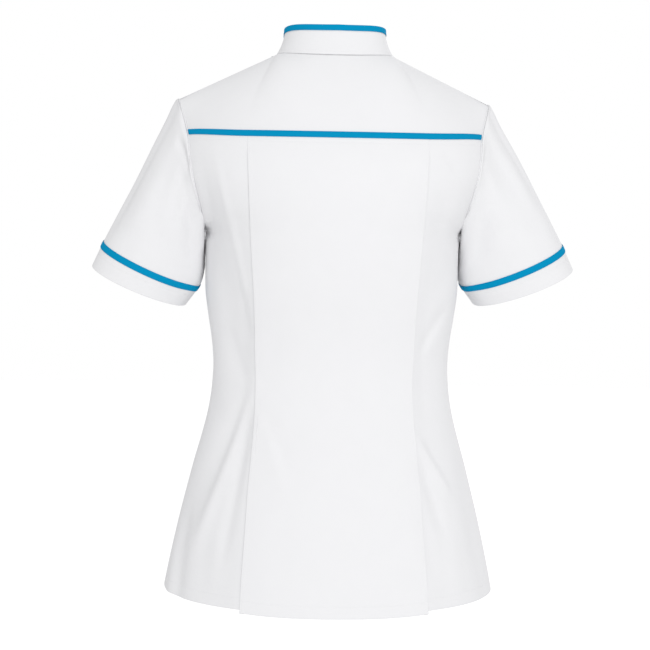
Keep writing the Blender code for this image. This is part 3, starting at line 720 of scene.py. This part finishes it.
def backCentre():
    across = np.append(-centreAcross[:0:-1], centreAcross)
    points = finishEdges(centrePoints(across, skirtDown), "under", "hem", "over", "over")
    lines = [firstColumn(centrePoints((sign * pleatAcross[2],), skirtDown[4:])) for sign in (-1, 1)]
    lines += [firstRow(centrePoints(across, (row,))) for row in (yokeStitchDown, hemStitchDown)]
    sewPiece("cloth", "back_centre", points, lines)


def sidePoints(side, across, down):
    # the panel falls away from the pleat as a quarter sine, more and more from the underarm down,
    # and comes back by the side seam. The valley along the pleat opens lower down on the left
    a, d = np.meshgrid(across, down)
    fromPleat = (np.abs(a) - 1) * sidePanelMm
    at = relief["sideFallAt"]
    out = np.sin(np.clip(fromPleat / at, 0, 1) * math.pi / 2)
    comesBack = ease((sidePanelMm - fromPleat) / (sidePanelMm - at))
    fall = -relief["sideFall"] * out * comesBack * ease((d - 1.1) / 0.3)
    opened = ease((d - 1.08) / 0.14) if side > 0 else 0.4
    valley = -relief["pleatValley"] * (1 - ease(fromPleat / 6)) * opened
    return bodySurface(1, a, d, fall + valley + skirtRelief(d))


def backSide(side):
    across = (side * sideAcross)[::side]
    ends = ("flat", backEdge)[::side]
    points = finishEdges(sidePoints(side, across, skirtDown), "under", "hem", *ends)
    lines = [firstRow(sidePoints(side, across[1:-1], (row,))) for row in (yokeStitchDown, hemStitchDown)]
    sewPiece("cloth", f"back_side_{sideNames[side]}", points, lines)


front = {
    "placketEdge": 0.115,       # its half width in across
    "placketMm": 50,            # its width, which its columns are counted over
    "placketSewing": 0.9,       # where it is sewn down, as a share of its half width
    "sewingMm": 200,            # a distance in mm for one across, by that line
    "placketOut": 1.0,
    "flat": (0.32, 0.77),
    "area": 0.172,
    "placketFlat": (0.052, 0.69),
    "placketArea": 0.0345,
}


def frontPoints(across, down):
    a, d = np.meshgrid(across, down)
    return bodySurface(-1, a, d, hemGroove(d))


def frontPanel(side):
    across = (side * halfAcross)[::-side]
    ends = (frontEdge, "seam")[::side]
    points = finishEdges(frontPoints(across, frontDown), frontTop, "hem", *ends)
    lines = [firstRow(frontPoints(across[1:-1], (hemStitchDown,)))]
    sewPiece("cloth", f"front_{sideNames[side]}", points, lines)


def frontPlacket():
    # fly strip over the centre front, sewn down along both its edges
    edge = front["placketEdge"]
    sewingLine = edge * front["placketSewing"]
    closer = [sign * edge * (front["placketSewing"] + np.array((-0.04, 0, 0.04))) for sign in (-1, 1)]
    across = withExtra(spaced((-edge, edge, front["placketMm"])), *closer)[::-1]

    def at(a, d):
        a, d = np.meshgrid(a, d)
        sewing = groove((np.abs(a) - sewingLine) * front["sewingMm"])
        return bodySurface(-1, a, d, front["placketOut"] + sewing + hemGroove(d))

    points = finishEdges(at(across, frontDown), "seam", "hem", "over", "over")
    lines = [firstColumn(at((sign * sewingLine,), frontDown[2:-2])) for sign in (-1, 1)]
    sewPiece("cloth", "front_placket", points, lines)


trim = {
    "width": 8.5, "lay": 0.3, "stitchShare": 0.72, "stitchRise": 0.55,
    "yokeFlat": (0.013, 0.41),
    "sleeveFlat": (0.013, 0.37),
    "collarFlat": (0.017, 0.41),
}
# Cross-section of a folded strip: share of its half width, and how far it stands out
stripHalf = [(-0.55, 0), (-0.9, 0.02), (-1, 0.18), (-0.98, 0.42), (-0.88, 0.6), (-0.72, 0.55), (-0.5, 0.78)]
stripProfile = stripHalf + [(0, 0.88)] + [(-share, rise) for share, rise in stripHalf[::-1]]


def drawnIn(grid, by):
    # the grid with both its ends drawn in
    grid[:, 0] += unit(grid[:, 1] - grid[:, 0]) * by
    grid[:, -1] += unit(grid[:, -2] - grid[:, -1]) * by
    return grid


def stripGrid(middle, normals, downWay):
    # the profile carried along a line of points: a piping lies flat on the cloth
    rows = [middle + downWay * (share * trim["width"] / 2) + normals * (trim["lay"] + rise)
            for share, rise in stripProfile]
    return np.stack(rows)


def stripStitches(middle, normals, downWay):
    # the two lines that a piping is sewn down along
    share = trim["stitchShare"] * trim["width"] / 2
    out = normals * (trim["lay"] + trim["stitchRise"])
    return [(middle + downWay * (sign * share) + out, normals) for sign in (-1, 1)]


def yokePiping():
    points, normals = bodyGrid(1, bothSides, (1.0,))
    above, below = (bodyGrid(1, bothSides, (row,))[0][0] for row in (0.98, 1.004))
    downWay = unit(below - above)
    grid = drawnIn(stripGrid(points[0], normals[0], downWay), 0.9)
    lines = stripStitches(points[0], normals[0], downWay)
    sewPiece("trim", "yoke_piping", grid, lines)


# Stand collar from the centre back (0) over the neck point (1) to the centre front (2)
collarTable = table("place height lean", [
    (0, 38.2, 6), (0.5, 36.8, 8), (1, 33, 10.5), (1.4, 32, 9), (1.84, 30.5, 8), (2, 23.5, 7.5),
])
collar = {"bindingDepth": 7, "stitchRise": 0.12, "flat": (0.44, 0.047), "area": 0.0175}


def neckLine():
    # the neckline's own points, clockwise from above from centre front to centre front
    behind, ahead = (bodyGrid(face, centreColumns, (0,))[0][0] for face in (1, -1))
    half = np.concatenate((behind, ahead[-2::-1]))
    place = np.concatenate((centreColumns, 2 - centreColumns[-2::-1]))
    other = half[:0:-1] * np.array((-1, 1, 1))
    return np.concatenate((other, half)), np.concatenate((place[:0:-1], place))


def collarSurface(rises, out=0):
    # rows over the neckline: rise 0 is the seam and 1 the top edge. The collar leans in by
    # lean * (1 - (1 - rise)^2)
    line, place = neckLine()
    height, lean = (spline(collarTable["place"], collarTable[name], place) for name in ("height", "lean"))
    inwards = unit(np.stack((-line[:, 0], cut["neckPointY"] - line[:, 1], 0 * place), -1))
    up = np.array((0, 0, 1))

    def at(rise):
        rise = rise + 0 * place
        return line + np.outer(height * rise, up) + inwards * (lean * (1 - (1 - rise) ** 2))[:, None]

    points = np.stack([at(r) for r in rises])
    rising = np.stack([at(r + 0.01) - at(r - 0.01) for r in rises])
    normals = unit(np.cross(np.gradient(points, axis=1), -rising))
    return points + normals * out, normals, height


def collarStand():
    sewing = collar["stitchRise"]
    rises = np.sort(np.append(np.linspace(0, 1, 13), sewing + np.array((-0.025, 0.0, 0.025))))[::-1]
    points, normals, height = collarSurface(rises)
    away = (rises - sewing)[:, None] * height[None, :]
    points = points + normals * groove(away)[..., None]
    points = finishEdges((points, normals), None, "seam", "seam", "seam")
    lines = [firstRow(collarSurface([sewing], -relief["groove"]))]
    sewPiece("cloth", "collar_stand", points, lines)


def collarBinding():
    # profile over the top edge: up the inside, round the top and down the outside, with the
    # outer edge turned under. below is a distance under the collar's top edge
    half, middle = 1.25, -0.25
    depth = collar["bindingDepth"]
    turn = np.radians(np.linspace(180, 0, 9))
    away = np.concatenate(([middle - half] * 3, middle + half * np.cos(turn),
                           [middle + half] * 3, [0.85, 0.3]))
    below = np.concatenate(([depth, 4, 2], 0.6 - half * np.sin(turn),
                            [2, 4, depth - 0.5], [depth, depth - 0.2]))
    height = collarSurface([0])[2]
    rows = [collarSurface([1 - b / height], a)[0][0] for a, b in zip(away, below)]
    grid = drawnIn(np.stack(rows), 0.8)
    lines = [firstRow(collarSurface([1 - (depth - 1.4) / height], middle + half))]
    sewPiece("trim", "collar_binding", grid, lines)


# Guide lines of a sleeve from the armhole (0) to the hem (1), as in the solids
sleeveGuide = table("station outerX outerZ innerX innerY innerZ backY frontY droop", [
    (0.00, 198.5, -53.5, 165.0, -12, -217.5, 46, -62, 2),
    (0.02, 202.6, -56.4, 165.2, -14, -219.0, 45, -62, 2),
    (0.05, 206.0, -61.8, 165.4, -16, -221.5, 43, -63, 3),
    (0.12, 212.9, -77.0, 165.4, -19, -227.0, 39, -65, 4),
    (0.30, 231.5, -114.0, 164.4, -26, -241.0, 33, -69, 7),
    (0.50, 252.4, -156.0, 164.0, -31, -257.0, 29, -71, 9),
    (0.70, 274.6, -198.0, 164.4, -34, -273.0, 26, -72, 11),
    (0.87, 294.4, -236.6, 171.0, -36, -289.0, 24, -71, 12),
    (1.00, 306.8, -263.5, 186.5, -37, -310.4, 21, -68, 12),
])
sleeves = {
    "outerY": -14, "pipingStation": 0.866, "lift": 0.8, "blend": 0.6,
    "reach": {1: (0, -5), -1: (6, 0)}, "reachBlend": 0.5,
    "innerSquare": 0.3,     # how much squarer the back is toward the inner line
    "innerPress": 5,        # how far the back hangs in toward the body beside that line
    "pressTurn": 145, "pressHalfTurn": 19,
    "foldPress": 6, "foldTurn": 208, "foldHalfTurn": 15,    # the same on the front, behind the body's edge
    "sleeveMm": 225, "bandMm": 33,  # lengths that the rings are counted over
    "hemMm": 200,               # length that station 0 to 1 stands for by the hem
    "flat": (0.44, 0.23), "area": 0.0575,
    "bandFlat": (0.38, 0.05), "bandArea": 0.0185,
}
hemStation = 1 - (relief["hemStitch"] + 2) / sleeves["hemMm"]

# Creases of the sleeves. startX and endX are mm round the sleeve from its outer line over
# the back, 1.1 for each degree, and startY and endY are mm from the armhole
sleeveCreases = table("face startX startY endX endY halfWidth depth skew", [
    # left
    (1, 14, -60, 16, 225, 12, -3.2, 0),
    (1, 50, -40, 62, 215, 19, 4.6, 0),
    (1, 48, 22, 108, 9, 6, -3.0, 0),
    (1, 75, 15, 95, 150, 14, 2.4, 0),
    (1, 100, 30, 118, 120, 9, 0.9, 0),
    (1, 123, 24, 142, 160, 13, -2.6, 0),
    (1, 166, 70, 176, 205, 12, -1.6, 0),
    (1, 64, 120, 60, 215, 12, -1.0, 0),
    (1, 255, 24, 244, 168, 15, -3.0, 0),
    (1, 330, 34, 316, 190, 15, -2.4, 0),
    (1, 292, 20, 284, 150, 12, 1.4, 0),
    # right
    (-1, 18, -60, 20, 160, 10, -3.4, 0),
    (-1, 41, -40, 44, 160, 9, 1.4, 0),
    (-1, 62, 24, 52, 205, 14, -1.6, 0),
    (-1, 60, 20, 100, 9, 6, -1.4, 0),
    (-1, 84, 20, 92, 140, 13, 1.4, 0),
    (-1, 114, 30, 136, 170, 14, -2.2, 0),
    (-1, 160, 60, 168, 200, 12, -1.4, 0),
    (-1, 260, 24, 248, 180, 15, -3.0, 0),
    (-1, 326, 34, 330, 190, 15, -2.4, 0),
    (-1, 296, 20, 292, 150, 12, 1.2, 0),
])
turnMm, stationMm = 1.1, 240


def armhole():
    # the left armhole from the shoulder tip over the back to the underarm and up the front,
    # with each point's turn round the sleeve
    halves = [firstColumn(bodyGrid(face, (2.0,), np.append(top[:-1], armholeRows), sleeves["lift"]))[0]
              for face, top in ((1, yokeDown), (-1, frontTopRows))]
    backShare, frontShare = (lengthAlong(half) / lengthAlong(half)[-1] for half in halves)
    turns = np.append(180 * backShare, 360 - 180 * frontShare[-2:0:-1])
    return np.concatenate((halves[0], halves[1][-2:0:-1])), turns


def sleeveRing(side, turn, station):
    # oval round the outer and inner guide lines, deeper or shallower behind and in front. The
    # back's sine is raised to a power below 1 toward the inner line
    at = {name: spline(sleeveGuide["station"], sleeveGuide[name], station) for name in sleeveGuide}
    further, lower = sleeves["reach"][side]
    further, lower = further * ease(station / sleeves["reachBlend"]), lower * ease(station)
    outer = np.stack((at["outerX"] + further, sleeves["outerY"] + 0 * station, at["outerZ"] + lower), -1)
    inner = np.stack((at["innerX"], at["innerY"], at["innerZ"] + lower), -1)
    centre, half = (outer + inner) / 2, (outer - inner) / 2
    sine, cosine = np.sin(np.radians(turn)), np.cos(np.radians(turn))
    depth = np.where(sine > 0, at["backY"] - centre[..., 1], centre[..., 1] - at["frontY"])
    power = 1 - sleeves["innerSquare"] * ease((turn - 60) / 90) * (turn < 180)
    square = np.sign(sine) * np.abs(sine) ** power
    across = np.stack((0 * sine, depth * square, -at["droop"] * sine), -1)
    bell = np.exp(-((turn - sleeves["pressTurn"]) / sleeves["pressHalfTurn"]) ** 2)
    press = sleeves["innerPress"] * bell * ease(station / 0.08) * ease((1 - station) / 0.25)
    bell = np.exp(-((turn - sleeves["foldTurn"]) / sleeves["foldHalfTurn"]) ** 2)
    fold = sleeves["foldPress"] * bell * ease((station - 0.12) / 0.14) * ease((1 - station) / 0.25)
    moved = np.stack((-press - fold, 0.15 * press, 0 * press), -1)
    return centre + half * cosine[..., None] + across + moved


def sleeveSurface(side, stations):
    # rings down the sleeve, drawn on the left side, which leave the armhole's own line
    line, turns = armhole()
    line, turns = np.roll(line[::-1], 1, axis=0), np.roll(turns[::-1], 1)

    def at(rows):
        turn, station = np.meshgrid(turns, rows)
        fade = 1 - ease(station / sleeves["blend"])
        start = line - sleeveRing(side, turns, 0 * turns)
        return sleeveRing(side, turn, station) + start * fade[..., None]

    stations = np.asarray(stations, float)
    points = at(stations)
    roundWay = np.roll(points, -1, axis=1) - np.roll(points, 1, axis=1)
    downWay = at(np.clip(stations + 0.01, 0, 1)) - at(np.clip(stations - 0.01, 0, 1))
    normals = unit(np.cross(roundWay, downWay))
    turn, station = np.meshgrid(turns, stations)
    height = creaseHeight(sleeveCreases, side, turn * turnMm, station * stationMm) * ease(station / 0.03)
    fromSeam = np.linalg.norm(points - at((0.0,)), axis=-1)
    ridge = relief["armholeRise"] * np.exp(-((fromSeam - relief["armholeRidge"]) / 2.2) ** 2)
    hemLine = groove((hemStation - station) * sleeves["hemMm"])
    return points + normals * (height + ridge + hemLine)[..., None], normals


def closedLine(grid, side):
    # the first row of a ring's grid as a closed line, turned over for the right side
    turned = [values[::side] * np.array((side, 1, 1)) for values in firstRow(grid)]
    return [np.concatenate((values, values[:1])) for values in turned]


def sleeve(side):
    fine = np.arange(1, 10) * 0.004     # closer rings by the armhole
    stations = withExtra(spaced((0, sleeves["pipingStation"], sleeves["sleeveMm"])), fine)
    points = finishEdges(sleeveSurface(side, stations), "head", "under")
    sewPiece("cloth", f"sleeve_{sideNames[side]}", points, [],
             ring=True, side=side)


def sleeveBand(side):
    word = sideNames[side]
    fine = hemStation + near / sleeves["hemMm"]
    stations = withExtra(spaced((sleeves["pipingStation"], 1, sleeves["bandMm"])), fine)
    points = finishEdges(sleeveSurface(side, stations), "lap", "hem")
    lines = [closedLine(sleeveSurface(side, (hemStation,)), side)]
    sewPiece("cloth", f"sleeve_band_{word}", points, lines,
             ring=True, side=side)


def sleevePiping(side):
    word = sideNames[side]
    middle = sleeves["pipingStation"]
    points, normals = sleeveSurface(side, (middle,))
    above, below = (sleeveSurface(side, (middle + step,))[0][0] for step in (-0.02, 0.02))
    downWay = unit(below - above)
    grid = stripGrid(points[0], normals[0], downWay)
    mirror = np.array((side, 1, 1))
    closed = [np.concatenate((v, v[:1]))[::side] * mirror for v in (points[0], normals[0], downWay)]
    sewPiece("trim", f"sleeve_piping_{word}", grid, stripStitches(*closed),
             ring=True, side=side)


backYoke()
backCentre()
frontPlacket()
collarStand()
collarBinding()
yokePiping()
for side in (1, -1):
    backSide(side)
    frontPanel(side)
    sleeve(side)
    sleeveBand(side)
    sleevePiping(side)
print("cloth pieces made")

studio = {
    "floorDrop": 1.5, "floorRadius": 40,
    "floorGlow": 0.34,
    "seenStrength": 1.0,    # how bright the empty studio looks
    "litStrength": 0.84,    # how strongly it lights the tunic
    "aim": (0, 0, -0.34),   # where both lights point
    "key": {"place": (-0.45, 3.1, 0.6), "size": 1.1, "power": 33},
    "front": {"place": (-1.5, -2.7, 0.8), "size": 1.1, "power": 20},
}


def seenByCamera(tree, lit, seen, output):
    # the camera's rays meet the shader seen, and all others the shader lit
    path = tree.nodes.new("ShaderNodeLightPath")
    chosen = tree.nodes.new("ShaderNodeMixShader")
    for i, socket in enumerate((path.outputs["Is Camera Ray"], lit.outputs[0], seen.outputs[0])):
        tree.links.new(socket, chosen.inputs[i])
    tree.links.new(chosen.outputs[0], tree.nodes[output].inputs[0])


def paleFloor():
    # wide round floor, a person's height below the shoulders. It glows for the camera only, so
    # that it looks pale without lighting the tunic from below
    turn = np.radians(np.arange(0, 360, 5))
    ring = np.stack((np.cos(turn), np.sin(turn), 0 * turn), -1) * studio["floorRadius"]
    ring[:, 2] = -studio["floorDrop"]
    mesh = bpy.data.meshes.new("pale_floor")
    mesh.from_pydata(ring.tolist(), [], [list(range(len(ring)))])
    look = Look("pale_floor", 0.9)
    look.shader.inputs["Base Color"].default_value = (0.9, 0.9, 0.9, 1)
    glow = look.node("ShaderNodeEmission", sockets={"Strength": studio["floorGlow"]})
    glowing = look.node("ShaderNodeAddShader", sockets={0: look.shader.outputs[0], 1: glow.outputs[0]})
    seenByCamera(look.tree, look.shader, glowing, "Material Output")
    mesh.materials.append(look.material)
    floor = bpy.data.objects.new("pale_floor", mesh)
    bpy.context.scene.collection.objects.link(floor)


def softLight(name, place, size, power):
    data = bpy.data.lights.new(name, "AREA")
    data.size = size
    data.energy = power
    light = bpy.data.objects.new(name, data)
    light.location = place
    light.rotation_euler = (Vector(studio["aim"]) - Vector(place)).to_track_quat("-Z", "Y").to_euler()
    bpy.context.scene.collection.objects.link(light)


def surroundings():
    # plain colour management, so that the pale studio stays pale. The empty studio looks white,
    # and lights the tunic a little less strongly than that
    bpy.context.scene.view_settings.view_transform = "Standard"
    world = bpy.data.worlds.new("studio_white")
    world.use_nodes = True
    tree = world.node_tree
    lit = tree.nodes["Background"]
    seen = tree.nodes.new("ShaderNodeBackground")
    for background, strength in ((lit, studio["litStrength"]), (seen, studio["seenStrength"])):
        background.inputs[0].default_value = (1, 1, 1, 1)
        background.inputs[1].default_value = strength
    seenByCamera(tree, lit, seen, "World Output")
    bpy.context.scene.world = world


paleFloor()
surroundings()
for name in ("key", "front"):
    light = studio[name]
    softLight(f"{name}_light", light["place"], light["size"], light["power"])

# The photograph's view: the camera stands level behind the tunic, a little to its left
view = {
    "azimuth": 176.5, "distance": 2.8, "height": -0.3402, "roll": 0.775,
    "mmPerPixel": 1.28, "axisPixel": 331.5, "picture": 650, "sensor": 36,
}


def photoCamera():
    a, r = math.radians(view["azimuth"]), math.radians(view["roll"])
    eye = Vector((math.sin(a), -math.cos(a), 0))
    right = Vector((math.cos(a), math.sin(a), 0))
    up = Vector((0, 0, 1))
    across = right * math.cos(r) + up * math.sin(r)
    upright = up * math.cos(r) - right * math.sin(r)
    target = Vector((0, 0, view["height"]))
    target -= right * ((view["axisPixel"] - view["picture"] / 2) * view["mmPerPixel"] * mm)
    data = bpy.data.cameras.new("photo_camera")
    data.sensor_width = view["sensor"]
    data.lens = view["sensor"] * view["distance"] / (view["picture"] * view["mmPerPixel"] * mm)
    camera = bpy.data.objects.new("photo_camera", data)
    bpy.context.scene.collection.objects.link(camera)
    turn = Matrix((across, upright, eye)).transposed()
    camera.matrix_world = Matrix.Translation(target + eye * view["distance"]) @ turn.to_4x4()
    bpy.context.scene.camera = camera


photoCamera()
print("studio set")
